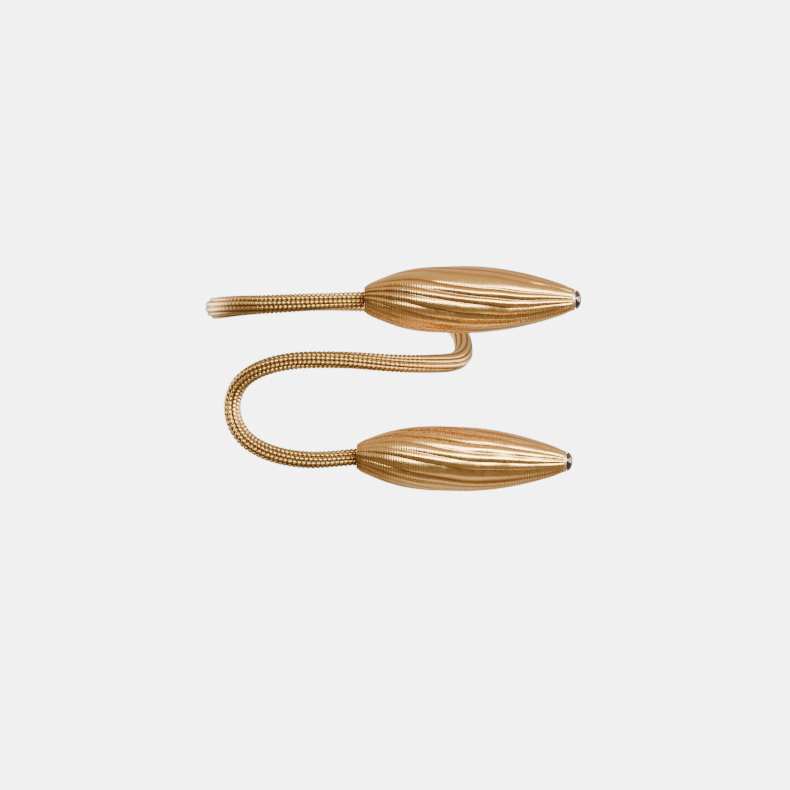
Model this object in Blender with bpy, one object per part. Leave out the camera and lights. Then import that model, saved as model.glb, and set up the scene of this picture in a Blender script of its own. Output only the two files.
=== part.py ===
"""Curtain holdback: a bendable arm of beaded ridges, bent round a gathered curtain, with a fluted spindle on each end.

Metres, +Z up, +X to the right as the holdback is looked at, and -Y towards the person who looks at it.
The origin is on the middle line of the gathered curtain, halfway up the holdback.
"""

import math
import random

import bpy
import numpy as np
from mathutils import Matrix, Vector

MM = 0.001
GAP = 0.3 * MM  # between neighbouring pieces

# Spindles
SPINDLE_FRONT = -33.0 * MM  # how far the spindles' axes lie in front of the curtain's middle line
FLUTES = 20  # ridges round each spindle
POINTS_PER_FLUTE = 3
FLUTE_DEPTH = 0.9 * MM
FLUTE_UNEVEN = 0.20  # how far a groove strays sideways, in flute widths
DEPTH_UNEVEN = 0.35  # how far a groove's depth strays, as a share
SOCKET_DEPTH = 5.0 * MM  # the arm's end sits this deep in the spindle
SOCKET_RADIUS = 3.9 * MM
RECESS_DEPTH = 2.0 * MM  # the tip cap's stem sits this deep in the spindle
RECESS_RADIUS = 3.6 * MM
TWIST_ENDS = 0.85  # where along the spindle its flutes stop turning, as a share of its length
BODY_FROM = 0.14  # between these shares of its length a spindle has a ring halfway between its stations too
BODY_TO = 0.90
RIDGE_PUFF = 0.85  # the lower this power, the fuller a ridge and the sharper the groove beside it

# Radius of a spindle as a share of its largest, at shares of its length from the arm.
SPINDLE_PROFILE = (
    # along, radius, flute_depth
    (0.000, 0.365, 0.45),
    (0.020, 0.460, 0.60),
    (0.057, 0.570, 0.70),
    (0.100, 0.680, 0.80),
    (0.142, 0.780, 0.90),
    (0.218, 0.900, 1.00),
    (0.313, 0.975, 1.00),
    (0.430, 1.000, 1.00),
    (0.550, 0.985, 1.00),
    (0.645, 0.925, 1.00),
    (0.740, 0.820, 0.90),
    (0.834, 0.675, 0.75),
    (0.900, 0.550, 0.60),
    (0.950, 0.440, 0.40),
    (0.980, 0.354, 0.15),
    (1.000, 0.312, 0.00),
)

# Each spindle's own sizes. droop is how far its outer end tips down, and twist how far its flutes turn.
SPINDLES = (
    # name, arm_end_x, arm_end_z, length, radius, droop_deg, twist_deg, seed
    ("upper", 10.6 * MM, 35.4 * MM, 92.8 * MM, 14.85 * MM, 0.0, 48.0, 11),
    ("lower", 7.2 * MM, -33.6 * MM, 92.4 * MM, 14.35 * MM, 1.4, 44.0, 23),
)

# Tip caps
CAP_RADIUS = 4.25 * MM
CAP_HEIGHT = 2.5 * MM
CAP_SEGMENTS = 28
CAP_RINGS = 5

# Arm
ARM_RIDGES = 10
POINTS_PER_RIDGE = 3
RIDGE_DEPTH = 0.16  # of the arm's radius, from a ridge's crest to the groove's bottom
ARM_TWIST_DEG = 250.0  # how far the ridges turn over the arm's whole length
ARM_RING_STEP = 4.5 * MM
ARM_FINE_STEPS = 4000  # steps in which the arm's length is measured

# The way the middle of the arm takes round the curtain, and the arm's thickness there, in millimetres.
ARM_ROUTE = (
    # x, y, z, thickness
    (2.0, -33.0, 35.1, 7.2),  # straight out of the upper spindle
    (-8.0, -32.9, 34.6, 7.6),
    (-20.0, -31.8, 33.9, 7.9),
    (-33.0, -28.3, 33.3, 8.1),
    (-44.0, -21.6, 32.8, 8.7),
    (-52.0, -12.2, 32.1, 9.3),
    (-55.2, -1.0, 31.9, 9.3),  # round the curtain's left side
    (-53.9, 10.5, 32.2, 8.8),
    (-47.6, 20.5, 32.9, 8.2),
    (-36.5, 27.6, 33.7, 7.9),
    (-22.0, 31.6, 34.4, 7.8),  # behind the curtain
    (-5.0, 32.8, 34.8, 7.8),
    (12.0, 32.0, 34.4, 7.8),
    (28.0, 28.8, 33.0, 7.8),
    (41.0, 23.0, 29.6, 7.8),
    (50.0, 14.6, 24.4, 7.9),
    (53.9, 4.0, 18.2, 8.0),  # round the curtain's right side
    (54.4, -6.4, 12.2, 8.2),
    (51.0, -15.8, 8.4, 8.2),
    (43.4, -23.2, 7.3, 8.0),
    (33.0, -28.6, 7.1, 7.8),
    (20.0, -32.0, 7.6, 7.7),
    (5.0, -33.6, 8.7, 7.6),  # across the front
    (-8.0, -33.6, 9.0, 7.6),
    (-20.0, -32.4, 8.5, 7.6),
    (-30.5, -30.2, 6.5, 7.6),
    (-39.4, -27.4, 2.6, 7.6),
    (-45.6, -24.5, -3.8, 7.7),
    (-47.6, -23.6, -11.6, 7.7),  # the U bend
    (-46.1, -24.1, -19.3, 7.8),
    (-41.6, -25.8, -25.9, 7.8),
    (-34.0, -28.2, -30.8, 7.8),
    (-24.6, -30.6, -33.8, 7.8),
    (-13.0, -32.4, -35.1, 7.7),
    (-2.0, -33.0, -34.6, 7.3),  # straight into the lower spindle
)

GOLD_SLEEVE = ("gold sleeve", (0.52, 0.29, 0.09, 1.0), 0.34, 0.9)
GOLD_COVER = ("gold cover", (0.56, 0.31, 0.10, 1.0), 0.30, 0.9)
DARK_CAP = ("dark polished cap", (0.05, 0.02, 0.02, 1.0), 0.12, 1.0)


def clear_scene():
    for thing in list(bpy.data.objects):
        bpy.data.objects.remove(thing, do_unlink=True)


def material(name, colour, roughness, metallic):
    made = bpy.data.materials.new(name)
    made.use_nodes = True
    surface = made.node_tree.nodes["Principled BSDF"]
    surface.inputs["Base Color"].default_value = colour
    surface.inputs["Roughness"].default_value = roughness
    surface.inputs["Metallic"].default_value = metallic
    return made


def spline_slopes(at, values, first, last):
    """The slopes of the smoothest cubic through the values, with the slopes at its two ends given."""
    count = len(at)
    step = np.diff(at)
    rise = np.diff(values, axis=0) / step[:, None]
    system = np.zeros((count, count))
    wanted = np.zeros((count, values.shape[1]))
    system[0, 0] = system[-1, -1] = 1.0
    wanted[0] = first
    wanted[-1] = last
    for i in range(1, count - 1):
        system[i, i - 1] = step[i]
        system[i, i] = 2.0 * (step[i - 1] + step[i])
        system[i, i + 1] = step[i - 1]
        wanted[i] = 3.0 * (step[i] * rise[i - 1] + step[i - 1] * rise[i])
    return np.linalg.solve(system, wanted)


def cubic_at(at, values, slopes, where):
    """The cubic with those values and slopes at the places in at, read at the places in where."""
    piece = np.clip(np.searchsorted(at, where, side="right") - 1, 0, len(at) - 2)
    span = (at[piece + 1] - at[piece])[:, None]
    t = ((where - at[piece]) / span[:, 0])[:, None]
    low, high = values[piece], values[piece + 1]
    low_slope, high_slope = slopes[piece] * span, slopes[piece + 1] * span
    return (
        (1 + 2 * t) * (1 - t) ** 2 * low
        + t * (1 - t) ** 2 * low_slope
        + t**2 * (3 - 2 * t) * high
        + t**2 * (t - 1) * high_slope
    )


def flute_turn(twist, share):
    """How far the flutes have turned at a share of the length: quickly at first, then ever less."""
    left = max(1.0 - share / TWIST_ENDS, 0.0)
    return math.radians(twist) * (1.0 - left**2)


def rounded_ridge(phase):
    """Height of a puffed ridge, 0 in the groove and 1 on the crest, at a phase from 0 to 1 across it."""
    return math.sin(math.pi * phase) ** RIDGE_PUFF


def loft(name, rings, start, end, finish):
    """A closed solid through rings of equally many points, closed at each end by a fan round a middle point."""
    width = len(rings[0])
    points = [point for ring in rings for point in ring]
    faces = [
        (
            row * width + i,
            row * width + (i + 1) % width,
            (row + 1) * width + (i + 1) % width,
            (row + 1) * width + i,
        )
        for row in range(len(rings) - 1)
        for i in range(width)
    ]
    last_row = (len(rings) - 1) * width
    first_pole = len(points)
    points += [start, end]
    for i in range(width):
        faces.append((first_pole, (i + 1) % width, i))
        faces.append((first_pole + 1, last_row + i, last_row + (i + 1) % width))
    mesh = bpy.data.meshes.new(name)
    mesh.from_pydata([tuple(p) for p in points], [], faces)
    mesh.validate()
    mesh.materials.append(finish)
    mesh.shade_smooth()
    made = bpy.data.objects.new(name, mesh)
    bpy.context.scene.collection.objects.link(made)
    return made


def empty(name):
    made = bpy.data.objects.new(name, None)
    bpy.context.scene.collection.objects.link(made)
    return made


def flute_rows(seed):
    """For each point round a spindle, its angle in flute widths and the height of its ridge there."""
    uneven = random.Random(seed)
    grooves = [i + uneven.uniform(-FLUTE_UNEVEN, FLUTE_UNEVEN) for i in range(FLUTES)]
    grooves.append(grooves[0] + FLUTES)
    depths = [1.0 + uneven.uniform(-DEPTH_UNEVEN, DEPTH_UNEVEN) for _ in range(FLUTES)]
    rows = []
    for flute in range(FLUTES):
        for step in range(POINTS_PER_FLUTE):
            phase = step / POINTS_PER_FLUTE
            angle = grooves[flute] + phase * (grooves[flute + 1] - grooves[flute])
            rows.append((angle, depths[flute] * (1.0 - rounded_ridge(phase))))
    return rows


def round_ring(x, radius, angles):
    return [Vector((x, -radius * math.cos(a), -radius * math.sin(a))) for a in angles]


def spindle_rings(length, radius, twist, seed):
    """Rings along +X from the socket's floor, over the fluted body, to the floor of the tip cap's recess."""
    table = np.array(SPINDLE_PROFILE)
    stations, sections = table[:, 0], table[:, 1:]
    halfway = (stations[:-1] + stations[1:]) / 2.0
    halfway = halfway[(halfway > BODY_FROM) & (halfway < BODY_TO)]
    along = np.sort(np.concatenate([stations, halfway]))
    body = cubic_at(stations, sections, np.gradient(sections, stations, axis=0), along)
    rows = flute_rows(seed)

    def turned(share):
        """The angles of a ring's points at a share of the length."""
        return [2.0 * math.pi * angle / FLUTES + flute_turn(twist, share) for angle, _ in rows]

    mouth = RECESS_RADIUS + GAP
    rings = [round_ring(x, SOCKET_RADIUS, turned(0.0)) for x in (SOCKET_DEPTH, 0.0)]
    for share, (width, depth) in zip(along, body):
        ring = []
        for angle, (_, groove) in zip(turned(share), rows):
            reach = radius * width - FLUTE_DEPTH * depth * width * groove
            ring += round_ring(length * share, reach, [angle])
        rings.append(ring)
    rings += [round_ring(x, mouth, turned(1.0)) for x in (length, length - RECESS_DEPTH)]
    return rings


def spindle(name, arm_end, length, radius, droop, twist, seed, finish, holder):
    rings = spindle_rings(length, radius, twist, seed)
    socket_floor = Vector((SOCKET_DEPTH, 0.0, 0.0))
    recess_floor = Vector((length - RECESS_DEPTH, 0.0, 0.0))
    made = loft("spindle_" + name, rings, socket_floor, recess_floor, finish)
    made.location = arm_end
    made.rotation_euler = (0.0, math.radians(droop), 0.0)
    made.parent = holder
    return made


def tip_cap(name, length, finish, carrier):
    """A stem in the spindle's recess, and on it a dome that covers the gathered rim's mouth."""
    angles = [2.0 * math.pi * i / CAP_SEGMENTS for i in range(CAP_SEGMENTS)]
    foot = length - RECESS_DEPTH + GAP
    seat = length + GAP
    rings = [round_ring(foot, RECESS_RADIUS, angles), round_ring(seat, RECESS_RADIUS, angles)]
    for step in range(CAP_RINGS):
        lift = 0.5 * math.pi * step / CAP_RINGS
        rings.append(round_ring(seat + CAP_HEIGHT * math.sin(lift), CAP_RADIUS * math.cos(lift), angles))
    top = Vector((seat + CAP_HEIGHT, 0.0, 0.0))
    made = loft("tip_cap_" + name, rings, Vector((foot, 0.0, 0.0)), top, finish)
    made.parent = carrier
    return made


def arm_line(upper_end, upper_way, lower_end, lower_way):
    """The arm's middle line and radius at even steps, from inside one spindle's socket to inside the other's."""
    depth = SOCKET_DEPTH - GAP
    table = [[value * MM for value in row] for row in ARM_ROUTE]
    first = [*(upper_end + upper_way * depth), table[0][3]]
    last = [*(lower_end + lower_way * depth), table[-1][3]]
    values = np.array([first, *table, last])
    at = np.concatenate([[0.0], np.cumsum(np.linalg.norm(np.diff(values[:, :3], axis=0), axis=1))])
    slopes = spline_slopes(at, values, np.array([*(-upper_way), 0.0]), np.array([*lower_way, 0.0]))
    fine = cubic_at(at, values, slopes, np.linspace(0.0, at[-1], ARM_FINE_STEPS))
    length = np.concatenate([[0.0], np.cumsum(np.linalg.norm(np.diff(fine[:, :3], axis=0), axis=1))])
    even = np.linspace(0.0, length[-1], round(length[-1] / ARM_RING_STEP) + 1)
    return np.stack([np.interp(even, length, fine[:, k]) for k in range(4)], axis=1)


def carried_frames(points):
    """A pair of directions across the line at each point, carried along it without turning about it."""
    ways = np.gradient(points, axis=0)
    side = Vector((0.0, 0.0, 1.0))
    frames = []
    for way in ways:
        ahead = Vector(way).normalized()
        side = (side - ahead * side.dot(ahead)).normalized()
        frames.append((side, ahead.cross(side)))
    return frames


def arm(line, finish, holder):
    points, thickness = line[:, :3], line[:, 3]
    frames = carried_frames(points)
    around = ARM_RIDGES * POINTS_PER_RIDGE
    rings = []
    for i, (side, other) in enumerate(frames):
        turned = math.radians(ARM_TWIST_DEG) * i / (len(frames) - 1)
        middle = Vector(points[i])
        ring = []
        for k in range(around):
            phase = (k % POINTS_PER_RIDGE) / POINTS_PER_RIDGE
            reach = thickness[i] / 2.0 * (1.0 - RIDGE_DEPTH * (1.0 - rounded_ridge(phase)))
            angle = 2.0 * math.pi * k / around + turned
            ring.append(middle + (side * math.cos(angle) + other * math.sin(angle)) * reach)
        rings.append(ring)
    made = loft("arm", rings, Vector(points[0]), Vector(points[-1]), finish)
    made.parent = holder
    return made


def build():
    clear_scene()
    sleeve = material(*GOLD_SLEEVE)
    cover = material(*GOLD_COVER)
    dark = material(*DARK_CAP)
    holder = empty("holdback")
    ends = []
    for name, x, z, length, radius, droop, twist, seed in SPINDLES:
        arm_end = Vector((x, SPINDLE_FRONT, z))
        body = spindle(name, arm_end, length, radius, droop, twist, seed, cover, holder)
        tip_cap(name, length, dark, body)
        way = Matrix.Rotation(math.radians(droop), 3, "Y") @ Vector((1.0, 0.0, 0.0))
        ends.append((arm_end, way))
    (upper_end, upper_way), (lower_end, lower_way) = ends
    arm(arm_line(upper_end, upper_way, lower_end, lower_way), sleeve, holder)


build()
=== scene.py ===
"""Curtain holdback, dressed: a beaded gold arm, bent the way that it goes round a gathered curtain, with a
fluted gold spindle at each end. The curtain itself is left out.

Metres, +Z up, +X to the right and -Y towards the person who looks at it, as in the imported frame.
"""

import math
import random

import bpy
import numpy as np
from mathutils import Matrix, Vector

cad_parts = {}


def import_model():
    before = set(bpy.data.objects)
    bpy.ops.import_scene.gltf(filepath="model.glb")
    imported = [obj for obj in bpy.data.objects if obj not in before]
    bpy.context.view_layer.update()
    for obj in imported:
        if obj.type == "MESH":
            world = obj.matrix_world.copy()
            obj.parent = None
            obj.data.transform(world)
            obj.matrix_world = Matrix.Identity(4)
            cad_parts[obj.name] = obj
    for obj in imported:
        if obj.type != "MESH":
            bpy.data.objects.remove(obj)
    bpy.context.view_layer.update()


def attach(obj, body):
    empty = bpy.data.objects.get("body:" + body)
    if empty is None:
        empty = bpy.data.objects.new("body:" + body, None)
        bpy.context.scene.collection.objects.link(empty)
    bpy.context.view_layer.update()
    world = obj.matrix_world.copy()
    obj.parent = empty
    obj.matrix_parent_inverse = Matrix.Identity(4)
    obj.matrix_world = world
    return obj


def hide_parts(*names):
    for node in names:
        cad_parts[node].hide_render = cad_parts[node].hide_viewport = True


MM = 0.001
GAP = 0.3 * MM  # between neighbouring pieces

# Camera: level, straight ahead, so far off that it hardly foreshortens
VIEW_WIDTH = 0.3476
VIEW_CENTRE = (0.0242, -0.0066)  # x and z
VIEW_DISTANCE = 5.0
VIEW_PLANE = -0.033  # the y at which the view is VIEW_WIDTH wide
SENSOR_WIDTH = 36.0
CLIP_NEAR = 0.1
CLIP_FAR = 100.0

# Spindles
SPINDLE_FRONT = -33.0 * MM  # the y of their axes
SPINDLE_RINGS = 385
STOP_STEP = 0.01  # between a guide's rings, until the tree puts them in their places
SOCKET_DEPTH = 5.0 * MM  # for the arm's end
SOCKET_RADIUS = 4.15 * MM
LIP_DEPTH = 0.5 * MM  # the socket opens out over this length, to the lip's radius
LIP_RADIUS = 4.5 * MM
LIP_FLUTES = 0.3  # how deep the flutes still are at the lip, as a share of the deepest
RECESS_DEPTH = 2.0 * MM  # for the cap's stem
STEM_RADIUS = 3.6 * MM  # the recess is wider by GAP
RIM_WIDTH = 1.2 * MM  # the cover's plain edge, next to the cap

# Flutes of the gathered cover
FLUTES = 20
POINTS_PER_FLUTE = 12
FLUTE_DEPTH = 0.5 * MM
FLUTE_UNEVEN = 0.22  # how far a groove may lie from its even place, as a share of a flute's width
DEPTH_UNEVEN = 0.4  # how far a flute's depth may be from FLUTE_DEPTH, as a share of it
RIDGE_ROUND = 1.6  # 1 folds a ridge sharp, 2 rounds it off
TWIST_ENDS = 0.85  # the share of the length where the twist has run out
COVER_WANDER = 0.03  # how far a ridge strays sideways, in radians
WANDER_SCALE = 1.1
COVER_PUCKER = 0.35  # how far a groove's depth changes along its way, as a share of it
PUCKER_SCALE = 1.7
NOISE_PER_METRE = 55.0  # lengthways; once round a spindle is 2 pi of it

# Shade where the arm goes into a spindle
MOUTH_SHADE = 2.5 * MM  # how far it reaches up the cover
MOUTH_LIGHT = 0.25  # the light that is left at the mouth itself, from 0 to 1
ARM_SHADE = 6.5 * MM  # how far it reaches down the arm

# A spindle's radius and the depth of its flutes, as shares of the largest, at shares of its length from
# the end that takes the arm.
SPINDLE_PROFILE = (
    # along, radius, flute_depth
    (0.000, 0.365, 0.45),
    (0.020, 0.460, 0.60),
    (0.057, 0.570, 0.70),
    (0.100, 0.680, 0.80),
    (0.142, 0.780, 0.90),
    (0.218, 0.900, 1.00),
    (0.313, 0.975, 1.00),
    (0.430, 1.000, 1.00),
    (0.550, 0.985, 1.00),
    (0.645, 0.925, 1.00),
    (0.740, 0.820, 0.90),
    (0.834, 0.675, 0.80),
    (0.900, 0.550, 0.70),
    (0.950, 0.440, 0.60),
    (0.980, 0.354, 0.50),
    (1.000, 0.312, 0.40),
)

SPINDLES = (
    # name, arm_end_x, arm_end_z, length, radius, droop_deg, twist_deg, flute_turn_deg, seed
    ("upper", 10.6 * MM, 35.4 * MM, 92.8 * MM, 14.85 * MM, 0.0, 48.0, 4.0, 11),
    ("lower", 7.2 * MM, -33.6 * MM, 92.4 * MM, 14.35 * MM, 1.4, 44.0, 1.5, 23),
)

# Tip caps
CAP_RADIUS = 4.25 * MM
CAP_HEIGHT = 2.5 * MM
CAP_SEGMENTS = 96
CAP_RINGS = 20
CAP_EDGE_DEG = 50.0  # a bend sharper than this is an edge

# Arm
ARM_RIDGES = 10
POINTS_PER_RIDGE = 7
RIDGE_DEPTH = 0.30  # of the arm's radius
RIDGE_SWELL = 0.25  # how much of that depth stands above the arm's own radius
RIDGE_UNEVEN = 0.3  # how far a ridge may sink, as a share of its depth
ARM_TWIST_DEG = 250.0
ARM_LINE_STEP = 1.5 * MM
ARM_FINE_STEPS = 4000  # points on the route while it is measured
BEAD_PITCH = 2.0 * MM
RINGS_PER_BEAD = 6
BEAD_DEPTH = 0.6  # how much lower the dip between two beads is, as a share of the ridge
BEAD_FULLNESS = 0.7  # 0.5 makes a bead half a ball, 1 slopes it off sooner
PLAIN_RELIEF = 0.6  # the ridges' depth where no beads show, as a share of that where they do
BEAD_SHIFT_SEED = 4
RIDGE_SINK_SEED = 9
NUDGE = 0.001  # keeps a whole number from counting as the one below it

# The way that the middle of the arm takes round the curtain and its thickness, in mm, and how plainly its
# beads show, from 0 to 1.
ARM_ROUTE = (
    # x, y, z, thickness, bead
    (2.0, -33.0, 35.1, 7.2, 1.0),  # straight out of the upper spindle
    (-8.0, -32.9, 34.6, 7.6, 1.0),
    (-20.0, -31.8, 33.9, 7.9, 1.0),
    (-33.0, -28.3, 33.3, 8.1, 0.9),
    (-44.0, -21.6, 32.8, 8.7, 0.35),
    (-52.0, -12.2, 32.1, 9.3, 0.15),
    (-55.2, -1.0, 31.9, 9.3, 0.15),  # round the curtain's left side
    (-53.9, 10.5, 32.2, 8.8, 0.3),
    (-47.6, 20.5, 32.9, 8.2, 0.7),
    (-36.5, 27.6, 33.7, 7.9, 1.0),
    (-22.0, 31.6, 34.4, 7.8, 1.0),  # behind the curtain
    (-5.0, 32.8, 34.8, 7.8, 1.0),
    (12.0, 32.0, 34.4, 7.8, 1.0),
    (28.0, 28.8, 33.0, 7.8, 1.0),
    (41.0, 23.0, 29.6, 7.8, 0.8),
    (50.0, 14.6, 24.4, 7.9, 0.4),
    (53.9, 4.0, 18.2, 8.0, 0.1),  # round the curtain's right side
    (54.4, -6.4, 12.2, 8.2, 0.1),
    (51.0, -15.8, 8.4, 8.2, 0.1),
    (43.4, -23.2, 7.3, 8.0, 0.2),
    (33.0, -28.6, 7.1, 7.8, 0.7),
    (20.0, -32.0, 7.6, 7.7, 1.0),
    (5.0, -33.6, 8.7, 7.6, 1.0),  # across the front
    (-8.0, -33.6, 9.0, 7.6, 1.0),
    (-20.0, -32.4, 8.5, 7.6, 1.0),
    (-30.5, -30.2, 6.5, 7.6, 0.9),
    (-39.4, -27.4, 2.6, 7.6, 0.7),
    (-45.6, -24.5, -3.8, 7.7, 0.6),
    (-47.6, -23.6, -11.6, 7.7, 0.55),  # the U bend
    (-46.1, -24.1, -19.3, 7.8, 0.8),
    (-41.6, -25.8, -25.9, 7.8, 1.0),
    (-34.0, -28.2, -30.8, 7.8, 1.0),
    (-24.6, -30.6, -33.8, 7.8, 1.0),
    (-13.0, -32.4, -35.1, 7.7, 1.0),
    (-2.0, -33.0, -34.6, 7.3, 1.0),  # straight into the lower spindle
)

# Gold thread: fine mottle and broad blotches over it, and how far they and the threads change its colour
MOTTLE_SCALE = 420.0
MOTTLE_DETAIL = 3.0
BLOTCH_SCALE = 60.0
BLOTCH_DETAIL = 2.0
MOTTLE_TINT = 0.12
BLOTCH_TINT = 0.15
THREAD_TINT = 0.06
MIDDLE_TONE = 0.55  # where the middle colour lies between groove, 0, and crest, 1
MOTTLE_ROUGHNESS = 0.2
RIM_ROUGHNESS = 0.15  # added at the cover's plain edge
MOTTLE_RELIEF = 0.2  # against 1 for the threads

# Dark polish of the caps, between two tones of a fine cloud
CLOUD_SCALE = 500.0
CLOUD_DETAIL = 4.0
CLOUD_LOW = 0.3
CLOUD_HIGH = 0.7
CLOUD_DARK = (0.07, 0.038, 0.033)
CLOUD_PALE = (0.12, 0.068, 0.06)
POLISH_LOW = 0.16  # roughness
POLISH_HIGH = 0.26

# Studio: soft lights round the holdback. Azimuth 0 is in front of it and 90 is to its right.
LIGHTS = (
    # name, azimuth_deg, elevation_deg, distance, width, height, brightness, colour
    ("key", 22.0, 18.0, 1.6, 2.4, 0.42, 24.0, (0.86, 1.0, 0.88)),
    ("key spill", 22.0, 19.0, 1.7, 2.6, 0.8, 2.6, (0.90, 1.0, 0.88)),
    ("right", 88.0, 4.0, 1.6, 2.0, 0.8, 9.0, (1.0, 1.0, 0.92)),
    ("left", -118.0, 3.0, 0.8, 0.7, 0.7, 6.0, (1.0, 1.0, 0.92)),
    ("behind", 0.0, 0.0, 0.0, 0.10, 0.09, 1.5, (1.0, 0.97, 0.92)),  # shines back, as a pale curtain would
)

# The room that the metal mirrors, from straight down, 0, to straight up, 1
ROOM = (
    (0.0, (0.32, 0.25, 0.17)),
    (0.22, (0.30, 0.23, 0.16)),
    (0.38, (0.10, 0.07, 0.05)),
    (0.54, (0.16, 0.12, 0.08)),
    (0.78, (0.75, 0.62, 0.44)),
    (1.0, (0.85, 0.70, 0.50)),
)
BACKDROP = (1.0, 0.94, 0.84, 1.0)  # mirrored from behind the holdback
BACKDROP_STARTS = 0.55  # it begins at this y of a direction
BACKDROP_WHOLE = 0.75  # and is whole from here on
BACKGROUND = (5.9, 5.9, 5.88, 1.0)  # what the camera sees

FLOOR_COLOUR = (0.58, 0.55, 0.50, 1.0)
FLOOR_RADIUS = 0.6
FLOOR_LEVEL = -1.5
FLOOR_SIDES = 96


# ---------------------------------------------------------------- curves through the tables


def spline_slopes(at, values, first, last):
    """The slopes of the smoothest cubic through the values, with the slopes at its two ends given."""
    count = len(at)
    step = np.diff(at)
    rise = np.diff(values, axis=0) / step[:, None]
    system = np.zeros((count, count))
    wanted = np.zeros((count, values.shape[1]))
    system[0, 0] = system[-1, -1] = 1.0
    wanted[0] = first
    wanted[-1] = last
    for i in range(1, count - 1):
        system[i, i - 1] = step[i]
        system[i, i] = 2.0 * (step[i - 1] + step[i])
        system[i, i + 1] = step[i - 1]
        wanted[i] = 3.0 * (step[i] * rise[i - 1] + step[i - 1] * rise[i])
    return np.linalg.solve(system, wanted)


def cubic_at(at, values, slopes, where):
    """The cubic with those values and slopes at the places in at, read at the places in where."""
    piece = np.clip(np.searchsorted(at, where, side="right") - 1, 0, len(at) - 2)
    span = (at[piece + 1] - at[piece])[:, None]
    t = ((where - at[piece]) / span[:, 0])[:, None]
    low, high = values[piece], values[piece + 1]
    low_slope, high_slope = slopes[piece] * span, slopes[piece + 1] * span
    return (
        (1 + 2 * t) * (1 - t) ** 2 * low
        + t * (1 - t) ** 2 * low_slope
        + t**2 * (3 - 2 * t) * high
        + t**2 * (t - 1) * high_slope
    )


def walked(points):
    """How far along a line each of its points lies."""
    return np.concatenate([[0.0], np.cumsum(np.linalg.norm(np.diff(points, axis=0), axis=1))])


def arm_line(upper_end, upper_way, lower_end, lower_way):
    """The arm's middle line, thickness and beading at even steps, from one socket to the other."""
    depth = SOCKET_DEPTH - GAP
    table = [[x * MM, y * MM, z * MM, thick * MM, bead] for x, y, z, thick, bead in ARM_ROUTE]
    first = [*(upper_end + upper_way * depth), *table[0][3:]]
    last = [*(lower_end + lower_way * depth), *table[-1][3:]]
    values = np.array([first, *table, last])
    at = walked(values[:, :3])
    leaves = np.array([*(-upper_way), 0.0, 0.0])
    enters = np.array([*lower_way, 0.0, 0.0])
    slopes = spline_slopes(at, values, leaves, enters)
    fine = cubic_at(at, values, slopes, np.linspace(0.0, at[-1], ARM_FINE_STEPS))
    length = walked(fine[:, :3])
    even = np.linspace(0.0, length[-1], round(length[-1] / ARM_LINE_STEP) + 1)
    return np.stack([np.interp(even, length, fine[:, k]) for k in range(fine.shape[1])], axis=1)


def spindle_line(length, radius):
    """A spindle's outline from its socket's floor to its recess's: x, radius, flute depth, light and rim."""
    table = np.array(SPINDLE_PROFILE)
    stations, sections = table[:, 0], table[:, 1:]
    slopes = np.gradient(sections, stations, axis=0)
    shares = np.linspace(0.0, 1.0, SPINDLE_RINGS)
    body = cubic_at(stations, sections, slopes, shares)
    recess = STEM_RADIUS + GAP
    inward = [
        (SOCKET_DEPTH, SOCKET_RADIUS, 0.0, 0.0, 0.0),
        (LIP_DEPTH, SOCKET_RADIUS, 0.0, 0.0, 0.0),
        (0.0, LIP_RADIUS, LIP_FLUTES, 0.0, 0.0),
    ]
    outer = []
    for s, (r, f) in zip(shares, body):
        x = length * s
        light = min(1.0, MOUTH_LIGHT + (1.0 - MOUTH_LIGHT) * x / MOUTH_SHADE)
        rim = 1.0 if x > length - RIM_WIDTH else 0.0
        outer.append((x, radius * r, f * (1.0 - rim), light, rim))
    back = [(length, recess, 0.0, 1.0, 1.0), (length - RECESS_DEPTH, recess, 0.0, 0.0, 0.0)]
    return np.array(inward + outer + back)


# ---------------------------------------------------------------- meshes and node trees


def link(made):
    """Puts a new object into the scene."""
    bpy.context.scene.collection.objects.link(made)
    return made


def guide_line(name, points, closed=False, **numbers):
    """A mesh line with a number of each name at each of its points, for a node tree to follow."""
    mesh = bpy.data.meshes.new(name)
    edges = [(i, i + 1) for i in range(len(points) - 1)]
    if closed:
        edges.append((len(points) - 1, 0))
    mesh.from_pydata([tuple(p) for p in points], edges, [])
    for key, values in numbers.items():
        kept = mesh.attributes.new(key, "FLOAT", "POINT")
        kept.data.foreach_set("value", np.array(values, np.float32))
    return link(bpy.data.objects.new(name, mesh))


class Web:
    """A node tree that is written down as formulas."""

    def __init__(self, tree):
        self.tree = tree

    def put(self, socket, value):
        """Feeds a socket with another node's output or with a constant."""
        if isinstance(value, bpy.types.NodeSocket):
            self.tree.links.new(value, socket)
        else:
            socket.default_value = value

    def node(self, kind, inputs=(), **settings):
        """A node with its settings, and with its inputs filled by name or number."""
        made = self.tree.nodes.new(kind)
        for key, value in settings.items():
            setattr(made, key, value)
        for key, value in dict(inputs).items():
            self.put(made.inputs[key], value)
        return made

    def math(self, operation, *values):
        """One step of arithmetic."""
        made = self.node("ShaderNodeMath", operation=operation)
        for socket, value in zip(made.inputs, values):
            self.put(socket, value)
        return made.outputs[0]

    def add(self, *values):
        total = values[0]
        for value in values[1:]:
            total = self.math("ADD", total, value)
        return total

    def less(self, a, b):
        return self.math("SUBTRACT", a, b)

    def times(self, *values):
        total = values[0]
        for value in values[1:]:
            total = self.math("MULTIPLY", total, value)
        return total

    def over(self, a, b):
        return self.math("DIVIDE", a, b)

    def spread(self, value, low, high, to_low, to_high):
        """The value, with low to high spread over to_low to to_high."""
        made = self.node("ShaderNodeMapRange", {0: value, 1: low, 2: high, 3: to_low, 4: to_high})
        return made.outputs[0]

    def vector(self, x, y, z):
        return self.node("ShaderNodeCombineXYZ", {0: x, 1: y, 2: z}).outputs[0]


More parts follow.
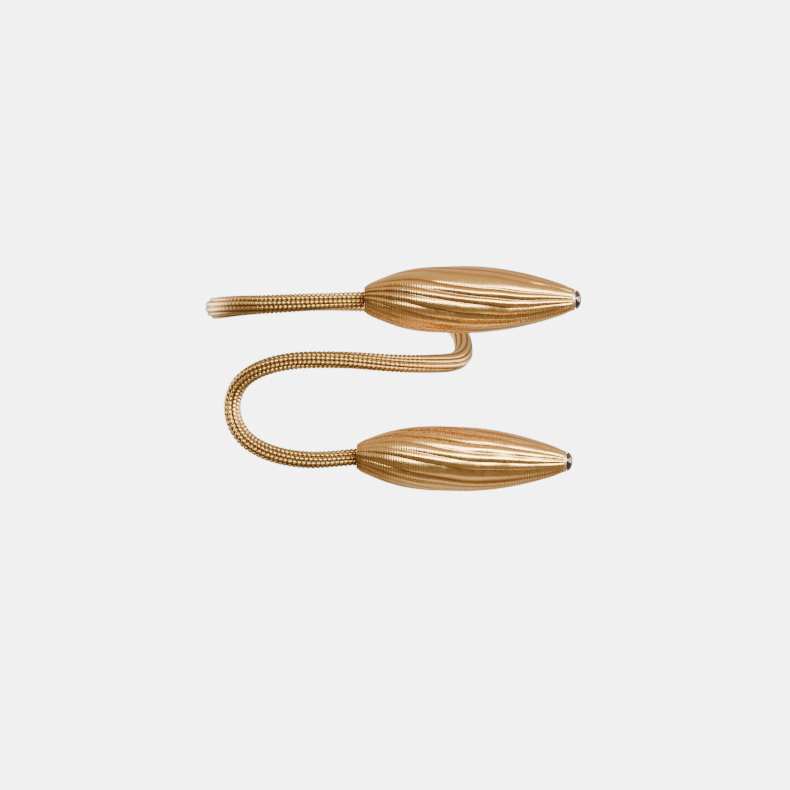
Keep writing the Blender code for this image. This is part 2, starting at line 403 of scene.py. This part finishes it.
class Shaper(Web):
    """A Geometry Nodes tree with named inputs."""

    def __init__(self, name, inputs):
        super().__init__(bpy.data.node_groups.new(name, "GeometryNodeTree"))
        self.identifiers = {}
        self.tree.interface.new_socket("Geometry", in_out="INPUT", socket_type="NodeSocketGeometry")
        self.tree.interface.new_socket("Geometry", in_out="OUTPUT", socket_type="NodeSocketGeometry")
        for label, kind in inputs:
            socket = self.tree.interface.new_socket(label, in_out="INPUT", socket_type="NodeSocket" + kind)
            self.identifiers[label] = socket.identifier
        self.given = self.node("NodeGroupInput").outputs

    def named(self, name):
        """The number of that name at each point."""
        made = self.node("GeometryNodeInputNamedAttribute", {"Name": name}, data_type="FLOAT")
        return made.outputs["Attribute"]

    def keep(self, geometry, name, value):
        """The geometry with the value kept at each point under that name."""
        made = self.node(
            "GeometryNodeStoreNamedAttribute",
            {"Geometry": geometry, "Name": name},
            data_type="FLOAT",
            domain="POINT",
        )
        self.put(made.inputs["Value"], value)
        return made.outputs[0]

    def noise(self, where, scale):
        """Soft noise from -1 to 1."""
        made = self.node("ShaderNodeTexNoise", {"Vector": where, "Scale": scale, "Detail": 0.0})
        return self.spread(made.outputs[0], 0.25, 0.75, -1.0, 1.0)

    def end(self, geometry):
        """Closes the tree: the geometry smooth-shaded, whole and in its material."""
        smooth = self.node("GeometryNodeSetShadeSmooth", {"Geometry": geometry})
        whole = self.node("GeometryNodeRealizeInstances", {"Geometry": smooth.outputs[0]})
        dressed = self.node(
            "GeometryNodeSetMaterial", {"Geometry": whole.outputs[0], "Material": self.given["Material"]}
        )
        self.node("NodeGroupOutput", {"Geometry": dressed.outputs[0]})

    def shape(self, name, guide, **values):
        """The plain mesh that the tree makes of the guide with these values, as an object of its own."""
        modifier = guide.modifiers.new(name, "NODES")
        modifier.node_group = self.tree
        for label, value in values.items():
            modifier[self.identifiers[label.replace("_", " ")]] = value
        evaluated = guide.evaluated_get(bpy.context.evaluated_depsgraph_get())
        mesh = bpy.data.meshes.new_from_object(evaluated)
        mesh.name = name
        guide.modifiers.remove(modifier)
        return link(bpy.data.objects.new(name, mesh))


def fluted_cover():
    """The tree that gathers a cover round a spindle: a radius for each ring, flutes, a twist and puckers."""
    web = Shaper(
        "fluted cover",
        [
            ("Section", "Object"),
            ("Length", "Float"),
            ("Flute depth", "Float"),
            ("Twist", "Float"),
            ("Twist ends", "Float"),
            ("Wander", "Float"),
            ("Pucker", "Float"),
            ("Seed", "Float"),
            ("Material", "Material"),
        ],
    )
    given = web.given
    rings = web.node("GeometryNodeMeshToCurve", {"Mesh": given["Geometry"]})
    section = web.node("GeometryNodeObjectInfo", {"Object": given["Section"]})
    ring = web.node("GeometryNodeMeshToCurve", {"Mesh": section.outputs["Geometry"]})
    tube = web.node(
        "GeometryNodeCurveToMesh",
        {"Curve": rings.outputs[0], "Profile Curve": ring.outputs[0], "Fill Caps": True},
    )
    x, reach, flutes = web.named("x"), web.named("reach"), web.named("flutes")
    angle, groove = web.named("angle"), web.named("groove")
    share = web.over(x, given["Length"])
    left = web.math("MAXIMUM", web.less(1.0, web.over(share, given["Twist ends"])), 0.0)
    turn = web.times(given["Twist"], web.less(1.0, web.times(left, left)))
    around = web.vector(
        web.add(web.times(x, NOISE_PER_METRE), given["Seed"]),
        web.math("COSINE", angle),
        web.math("SINE", angle),
    )
    inside = web.math("MINIMUM", web.math("MAXIMUM", share, 0.0), 1.0)
    middle = web.math("SINE", web.times(inside, math.pi))
    wander = web.times(web.noise(around, WANDER_SCALE), given["Wander"], middle)
    pucker = web.add(1.0, web.times(web.noise(around, PUCKER_SCALE), given["Pucker"]))
    sunk = web.times(given["Flute depth"], flutes, groove, pucker)
    radius = web.less(reach, sunk)
    way = web.add(angle, turn, wander)
    place = web.vector(
        x,
        web.times(radius, web.math("COSINE", way), -1.0),
        web.times(radius, web.math("SINE", way), -1.0),
    )
    placed = web.node("GeometryNodeSetPosition", {"Geometry": tube.outputs[0], "Position": place})
    kept = web.keep(placed.outputs[0], "crest", web.less(1.0, web.times(groove, flutes)))
    kept = web.keep(kept, "along", x)
    web.end(kept)
    return web


def beaded_sleeve():
    """The tree that lays ridges of beads round a bent arm."""
    web = Shaper(
        "beaded sleeve",
        [
            ("Rings per bead", "Int"),
            ("Ridges", "Int"),
            ("Points per ridge", "Int"),
            ("Ridge depth", "Float"),
            ("Ridge swell", "Float"),
            ("Ridge uneven", "Float"),
            ("Bead pitch", "Float"),
            ("Bead depth", "Float"),
            ("Shade start", "Float"),
            ("Shade end", "Float"),
            ("Twist", "Float"),
            ("Material", "Material"),
        ],
    )
    given = web.given
    line = web.node("GeometryNodeMeshToCurve", {"Mesh": given["Geometry"]})
    ring_step = web.over(given["Bead pitch"], given["Rings per bead"])
    even = web.node(
        "GeometryNodeResampleCurve",
        {"Curve": line.outputs[0], "Length": ring_step},
        mode="LENGTH",
    )
    along = web.node("GeometryNodeSplineParameter")
    tilted = web.node(
        "GeometryNodeSetCurveTilt",
        {"Curve": even.outputs[0], "Tilt": web.times(along.outputs["Factor"], given["Twist"])},
    )
    here = web.node("GeometryNodeInputPosition").outputs[0]
    centred = web.node(
        "GeometryNodeStoreNamedAttribute",
        {"Geometry": tilted.outputs[0], "Name": "centre"},
        data_type="FLOAT_VECTOR",
        domain="POINT",
    )
    web.put(centred.inputs["Value"], here)
    measured = web.keep(centred.outputs[0], "along", along.outputs["Length"])
    measured = web.keep(measured, "ring", web.node("GeometryNodeInputIndex").outputs[0])
    nearest_end = web.math("MINIMUM", along.outputs["Factor"], web.less(1.0, along.outputs["Factor"]))
    light = web.spread(nearest_end, given["Shade start"], given["Shade end"], 0.0, 1.0)
    measured = web.keep(measured, "light", light)
    count = web.math("MULTIPLY", given["Ridges"], given["Points per ridge"])
    circle = web.node("GeometryNodeCurvePrimitiveCircle", {"Resolution": count, "Radius": 1.0})
    turned = web.keep(circle.outputs[0], "around", along.outputs["Factor"])
    tube = web.node(
        "GeometryNodeCurveToMesh",
        {"Curve": measured, "Profile Curve": turned, "Scale": web.named("radius"), "Fill Caps": True},
    )
    rows = web.add(web.times(web.named("around"), given["Ridges"]), NUDGE)
    row = web.math("FLOOR", rows)
    across = web.less(web.times(web.math("FRACT", rows), 2.0), 1.0)
    # inputs 4 and 5 are the limits of a whole random number
    shifted = web.node(
        "FunctionNodeRandomValue",
        {"ID": row, "Seed": BEAD_SHIFT_SEED, 4: 0, 5: given["Rings per bead"]},
        data_type="INT",
    )
    shift = shifted.outputs["Value"]
    sunk = web.node("FunctionNodeRandomValue", {"ID": row, "Seed": RIDGE_SINK_SEED}, data_type="FLOAT")
    sink = sunk.outputs["Value"]
    step = web.over(web.add(web.named("ring"), shift, NUDGE), given["Rings per bead"])
    lengthways = web.less(web.times(web.math("FRACT", step), 2.0), 1.0)
    shown = web.times(given["Bead depth"], web.named("bead"))
    inside = web.less(1.0, web.add(web.times(across, across), web.times(lengthways, lengthways, shown)))
    ball = web.math("POWER", web.math("MAXIMUM", inside, 0.0), BEAD_FULLNESS)
    height = web.times(ball, web.less(1.0, web.times(sink, given["Ridge uneven"])))
    relief = web.times(given["Ridge depth"], web.spread(web.named("bead"), 0.0, 1.0, PLAIN_RELIEF, 1.0))
    drop = web.times(web.add(height, -1.0, given["Ridge swell"]), relief)
    centre = web.node("GeometryNodeInputNamedAttribute", {"Name": "centre"}, data_type="FLOAT_VECTOR")
    outward = web.node(
        "ShaderNodeVectorMath",
        {0: here, 1: centre.outputs["Attribute"]},
        operation="SUBTRACT",
    )
    offset = web.node("ShaderNodeVectorMath", {0: outward.outputs[0]}, operation="SCALE")
    web.put(offset.inputs["Scale"], drop)
    placed = web.node("GeometryNodeSetPosition", {"Geometry": tube.outputs[0], "Offset": offset.outputs[0]})
    web.end(web.keep(placed.outputs[0], "crest", height))
    return web


# ---------------------------------------------------------------- materials


def shader(name, **sockets):
    """A new material, its web and its surface, with these constants on the surface's sockets."""
    made = bpy.data.materials.new(name)
    made.use_nodes = True
    web = Web(made.node_tree)
    surface = made.node_tree.nodes["Principled BSDF"]
    for key, value in sockets.items():
        surface.inputs[key.replace("_", " ")].default_value = value
    return made, web, surface


def attribute(web, name):
    """The number of that name that the piece's mesh carries."""
    return web.node("ShaderNodeAttribute", attribute_name=name).outputs["Fac"]


def colour_ramp(web, value, *stops):
    """A colour that runs through the stops, each (place, colour), as the value goes from 0 to 1."""
    made = web.node("ShaderNodeValToRGB", {0: value})
    ramp = made.color_ramp
    while len(ramp.elements) < len(stops):
        ramp.elements.new(1.0)
    for element, (place, colour) in zip(ramp.elements, stops):
        element.position = place
        element.color = (*colour, 1.0)
    return made.outputs[0]


def mixed(web, share, first, second):
    """The first colour where the share is 0 and the second where it is 1."""
    # a Mix node's inputs 6 and 7 and its output 2 are its colours
    made = web.node("ShaderNodeMix", {"Factor": share}, data_type="RGBA")
    web.put(made.inputs[6], first)
    web.put(made.inputs[7], second)
    return made.outputs[2]


def cloudy(web, scale, detail):
    """Noise from 0 to 1 that is fixed to the piece."""
    place = web.node("ShaderNodeTexCoord").outputs["Object"]
    return web.node("ShaderNodeTexNoise", {"Vector": place, "Scale": scale, "Detail": detail}).outputs[0]


def gold_thread(name, thread_pitch, thread_depth, roughness, dark, middle, light, shade, rim=None):
    """Gold metallic thread, with fine threads that run round the piece, and painted shade that makes it
    darker and browner in the grooves.

    Shade is its colour where no light reaches, and rim that of a plain edge, on a piece that has one.
    """
    made, web, surface = shader(name, Metallic=1.0)
    crest = attribute(web, "crest")
    mottle = cloudy(web, MOTTLE_SCALE, MOTTLE_DETAIL)
    mottle_swing = web.less(mottle, 0.5)
    blotch_swing = web.less(cloudy(web, BLOTCH_SCALE, BLOTCH_DETAIL), 0.5)
    thread = web.math("SINE", web.times(attribute(web, "along"), 2.0 * math.pi / thread_pitch))
    tone = web.add(crest, web.times(mottle_swing, MOTTLE_TINT), web.times(blotch_swing, BLOTCH_TINT))
    tone = web.add(tone, web.times(thread, THREAD_TINT))
    # painted shade: the colour is darkest in the grooves, crest 0, and lightest on the crests, crest 1
    colour = colour_ramp(web, tone, (0.0, dark), (MIDDLE_TONE, middle), (1.0, light))
    rough = web.add(roughness, web.times(mottle_swing, MOTTLE_ROUGHNESS))
    if rim:
        edge = attribute(web, "rim")
        colour = mixed(web, edge, colour, (*rim, 1.0))
        rough = web.add(rough, web.times(edge, RIM_ROUGHNESS))
    web.put(surface.inputs["Base Color"], mixed(web, attribute(web, "light"), (*shade, 1.0), colour))
    web.put(surface.inputs["Roughness"], rough)
    height = web.add(thread, web.times(mottle, MOTTLE_RELIEF))
    bump = web.node("ShaderNodeBump", {"Strength": 1.0, "Distance": thread_depth, "Height": height})
    web.put(surface.inputs["Normal"], bump.outputs[0])
    return made


def gold_sleeve():
    """The arm's sleeve: fine beads of thread, with painted shade that makes it brown between them."""
    return gold_thread(
        "gold sleeve",
        thread_pitch=0.76 * MM,
        thread_depth=0.003 * MM,
        roughness=0.36,
        # the dark colour is painted shade between the beads and between their rows
        dark=(0.12, 0.055, 0.018),
        middle=(0.44, 0.24, 0.085),
        light=(0.90, 0.55, 0.20),
        shade=(0.20, 0.08, 0.025),
    )


def gold_cover():
    """The spindles' gathered cover: brighter and smoother thread than the arm's."""
    return gold_thread(
        "gold cover",
        thread_pitch=1.1 * MM,
        thread_depth=0.020 * MM,
        roughness=0.27,
        # the dark colour is painted shade in the grooves between the flutes
        dark=(0.46, 0.22, 0.08),
        middle=(0.78, 0.42, 0.145),
        light=(0.90, 0.53, 0.19),
        shade=(0.30, 0.14, 0.05),
        rim=(0.70, 0.46, 0.30),
    )


def dark_polish(name):
    """A polished dark dome with faint fine marks."""
    made, web, surface = shader(name, Metallic=0.85, Coat_Weight=1.0, Coat_Roughness=0.05)
    cloud = cloudy(web, CLOUD_SCALE, CLOUD_DETAIL)
    colour = colour_ramp(web, cloud, (CLOUD_LOW, CLOUD_DARK), (CLOUD_HIGH, CLOUD_PALE))
    web.put(surface.inputs["Base Color"], colour)
    rough = web.spread(cloud, CLOUD_LOW, CLOUD_HIGH, POLISH_LOW, POLISH_HIGH)
    web.put(surface.inputs["Roughness"], rough)
    return made


# ---------------------------------------------------------------- studio


def camera():
    """Looks straight at the holdback's front."""
    data = bpy.data.cameras.new("camera")
    data.sensor_width = SENSOR_WIDTH
    data.lens = SENSOR_WIDTH * VIEW_DISTANCE / VIEW_WIDTH
    data.clip_start = CLIP_NEAR
    data.clip_end = CLIP_FAR
    made = link(bpy.data.objects.new("camera", data))
    made.location = (VIEW_CENTRE[0], VIEW_PLANE - VIEW_DISTANCE, VIEW_CENTRE[1])
    made.rotation_euler = (math.radians(90.0), 0.0, 0.0)
    bpy.context.scene.camera = made


def soft_box(name, azimuth, elevation, distance, width, height, brightness, colour):
    """An area light that faces the holdback. Its brightness is that of its surface, whatever its size."""
    data = bpy.data.lights.new(name, "AREA")
    data.shape = "RECTANGLE"
    data.size = width
    data.size_y = height
    data.energy = brightness * math.pi * width * height
    data.color = colour
    made = link(bpy.data.objects.new(name, data))
    made.visible_camera = False
    a, e = math.radians(azimuth), math.radians(elevation)
    way = Vector((math.sin(a) * math.cos(e), -math.cos(a) * math.cos(e), math.sin(e)))
    made.location = way * distance
    made.rotation_euler = way.to_track_quat("Z", "Y").to_euler()


def room():
    """The world: a warm room for the metal to mirror, and a plain background for the camera."""
    world = bpy.data.worlds.new("studio")
    bpy.context.scene.world = world
    world.use_nodes = True
    web = Web(world.node_tree)
    back = world.node_tree.nodes["Background"]
    seen = web.node("ShaderNodeLightPath").outputs["Is Camera Ray"]
    direction = web.node("ShaderNodeTexCoord").outputs["Generated"]
    apart = web.node("ShaderNodeSeparateXYZ", {0: direction})
    walls = colour_ramp(web, web.spread(apart.outputs["Z"], -1.0, 1.0, 0.0, 1.0), *ROOM)
    behind = web.spread(apart.outputs["Y"], BACKDROP_STARTS, BACKDROP_WHOLE, 0.0, 1.0)
    mirrored = mixed(web, behind, walls, BACKDROP)
    web.put(back.inputs["Color"], mixed(web, seen, mirrored, BACKGROUND))


def floor():
    """A pale round floor, far below the holdback."""
    mesh = bpy.data.meshes.new("floor")
    ring = []
    for i in range(FLOOR_SIDES):
        a = 2 * math.pi * i / FLOOR_SIDES
        ring.append((FLOOR_RADIUS * math.cos(a), FLOOR_RADIUS * math.sin(a), FLOOR_LEVEL))
    mesh.from_pydata(ring, [], [list(range(FLOOR_SIDES))])
    plain, _, surface = shader("pale floor", Roughness=0.8)
    surface.inputs["Base Color"].default_value = FLOOR_COLOUR
    mesh.materials.append(plain)
    link(bpy.data.objects.new("floor", mesh))


def studio():
    """The room, the lights and the floor."""
    room()
    for light in LIGHTS:
        soft_box(*light)
    floor()


# ---------------------------------------------------------------- the holdback


def flute_section(seed, turn):
    """A ring of points round a spindle, with each point's angle and how deep in its groove it lies."""
    uneven = random.Random(seed)
    grooves = [i + uneven.uniform(-FLUTE_UNEVEN, FLUTE_UNEVEN) for i in range(FLUTES)]
    grooves.append(grooves[0] + FLUTES)
    depths = [1.0 + uneven.uniform(-DEPTH_UNEVEN, DEPTH_UNEVEN) for _ in range(FLUTES)]
    angles, sunk = [], []
    for flute in range(FLUTES):
        for step in range(POINTS_PER_FLUTE):
            phase = step / POINTS_PER_FLUTE
            place = grooves[flute] + phase * (grooves[flute + 1] - grooves[flute])
            angles.append(2.0 * math.pi * place / FLUTES + turn)
            sunk.append(depths[flute] * abs(2.0 * phase - 1.0) ** RIDGE_ROUND)
    points = [(math.cos(a), math.sin(a), 0.0) for a in angles]
    return guide_line("section", points, closed=True, angle=angles, groove=sunk)


def tip_cap(name, length, finish):
    """A stem in the spindle's recess and a dome on it, turned round the spindle's axis."""
    foot, seat = length - RECESS_DEPTH + GAP, length + GAP
    outline = [(foot, STEM_RADIUS), (seat, STEM_RADIUS)]
    for step in range(CAP_RINGS):
        lift = 0.5 * math.pi * step / CAP_RINGS
        outline.append((seat + CAP_HEIGHT * math.sin(lift), CAP_RADIUS * math.cos(lift)))
    points = []
    for x, r in outline:
        for i in range(CAP_SEGMENTS):
            a = 2.0 * math.pi * i / CAP_SEGMENTS
            points.append((x, -r * math.cos(a), -r * math.sin(a)))
    faces = []
    for row in range(len(outline) - 1):
        for i in range(CAP_SEGMENTS):
            j = (i + 1) % CAP_SEGMENTS
            low, high = row * CAP_SEGMENTS, (row + 1) * CAP_SEGMENTS
            faces.append((low + i, low + j, high + j, high + i))
    last = (len(outline) - 1) * CAP_SEGMENTS
    points += [(foot, 0.0, 0.0), (seat + CAP_HEIGHT, 0.0, 0.0)]
    for i in range(CAP_SEGMENTS):
        j = (i + 1) % CAP_SEGMENTS
        faces.append((len(points) - 2, j, i))
        faces.append((len(points) - 1, last + i, last + j))
    mesh = bpy.data.meshes.new(name)
    mesh.from_pydata(points, [], faces)
    mesh.materials.append(finish)
    mesh.shade_smooth()
    mesh.set_sharp_from_angle(angle=math.radians(CAP_EDGE_DEG))
    return link(bpy.data.objects.new(name, mesh))


def settle(piece, node):
    """The piece stands for its solid and moves with the holdback."""
    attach(piece, "root")
    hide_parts(node)


def dress_arm(line):
    """The arm in its beaded sleeve, along the middle line."""
    sleeve = gold_sleeve()
    length = float(walked(line[:, :3])[-1])
    guide = guide_line("arm guide", line[:, :3], radius=line[:, 3] / 2.0, bead=line[:, 4])
    arm = beaded_sleeve().shape(
        "holdback_arm",
        guide,
        Rings_per_bead=RINGS_PER_BEAD,
        Ridges=ARM_RIDGES,
        Points_per_ridge=POINTS_PER_RIDGE,
        Ridge_depth=RIDGE_DEPTH,
        Ridge_swell=RIDGE_SWELL,
        Ridge_uneven=RIDGE_UNEVEN,
        Bead_pitch=BEAD_PITCH,
        Bead_depth=BEAD_DEPTH,
        Shade_start=SOCKET_DEPTH / length,
        Shade_end=(SOCKET_DEPTH + ARM_SHADE) / length,
        Twist=math.radians(ARM_TWIST_DEG),
        Material=sleeve,
    )
    bpy.data.objects.remove(guide)
    settle(arm, "arm")


def dress_spindles(ends):
    """Both spindles in their gathered covers, each with its cap, from where the arm goes into them."""
    cover = gold_cover()
    polish = dark_polish("dark polished cap")
    gather = fluted_cover()
    for name, _, _, length, radius, _, twist, flute_turn, seed in SPINDLES:
        end, turn = ends[name]
        place = Matrix.Translation(end) @ turn
        rows = spindle_line(length, radius)
        stops = [(0.0, 0.0, STOP_STEP * i) for i in range(len(rows))]
        guide = guide_line(
            "spindle guide",
            stops,
            x=rows[:, 0],
            reach=rows[:, 1],
            flutes=rows[:, 2],
            light=rows[:, 3],
            rim=rows[:, 4],
        )
        section = flute_section(seed, math.radians(flute_turn))
        body = gather.shape(
            "holdback_spindle_" + name,
            guide,
            Section=section,
            Length=length,
            Flute_depth=FLUTE_DEPTH,
            Twist=math.radians(twist),
            Twist_ends=TWIST_ENDS,
            Wander=COVER_WANDER,
            Pucker=COVER_PUCKER,
            Seed=float(seed),
            Material=cover,
        )
        bpy.data.objects.remove(guide)
        bpy.data.objects.remove(section)
        body.data.transform(place)
        settle(body, "spindle_" + name)
        cap = tip_cap("holdback_tip_cap_" + name, length, polish)
        cap.data.transform(place)
        settle(cap, "tip_cap_" + name)


def main():
    """The arm between the two spindles, then the spindles and the studio."""
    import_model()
    camera()

    ends = {}
    for name, x, z, _, _, droop, _, _, _ in SPINDLES:
        ends[name] = (Vector((x, SPINDLE_FRONT, z)), Matrix.Rotation(math.radians(droop), 4, "Y"))
    forward = Vector((1.0, 0.0, 0.0))
    upper_end, upper_turn = ends["upper"]
    lower_end, lower_turn = ends["lower"]
    dress_arm(arm_line(upper_end, upper_turn @ forward, lower_end, lower_turn @ forward))
    dress_spindles(ends)
    studio()


main()
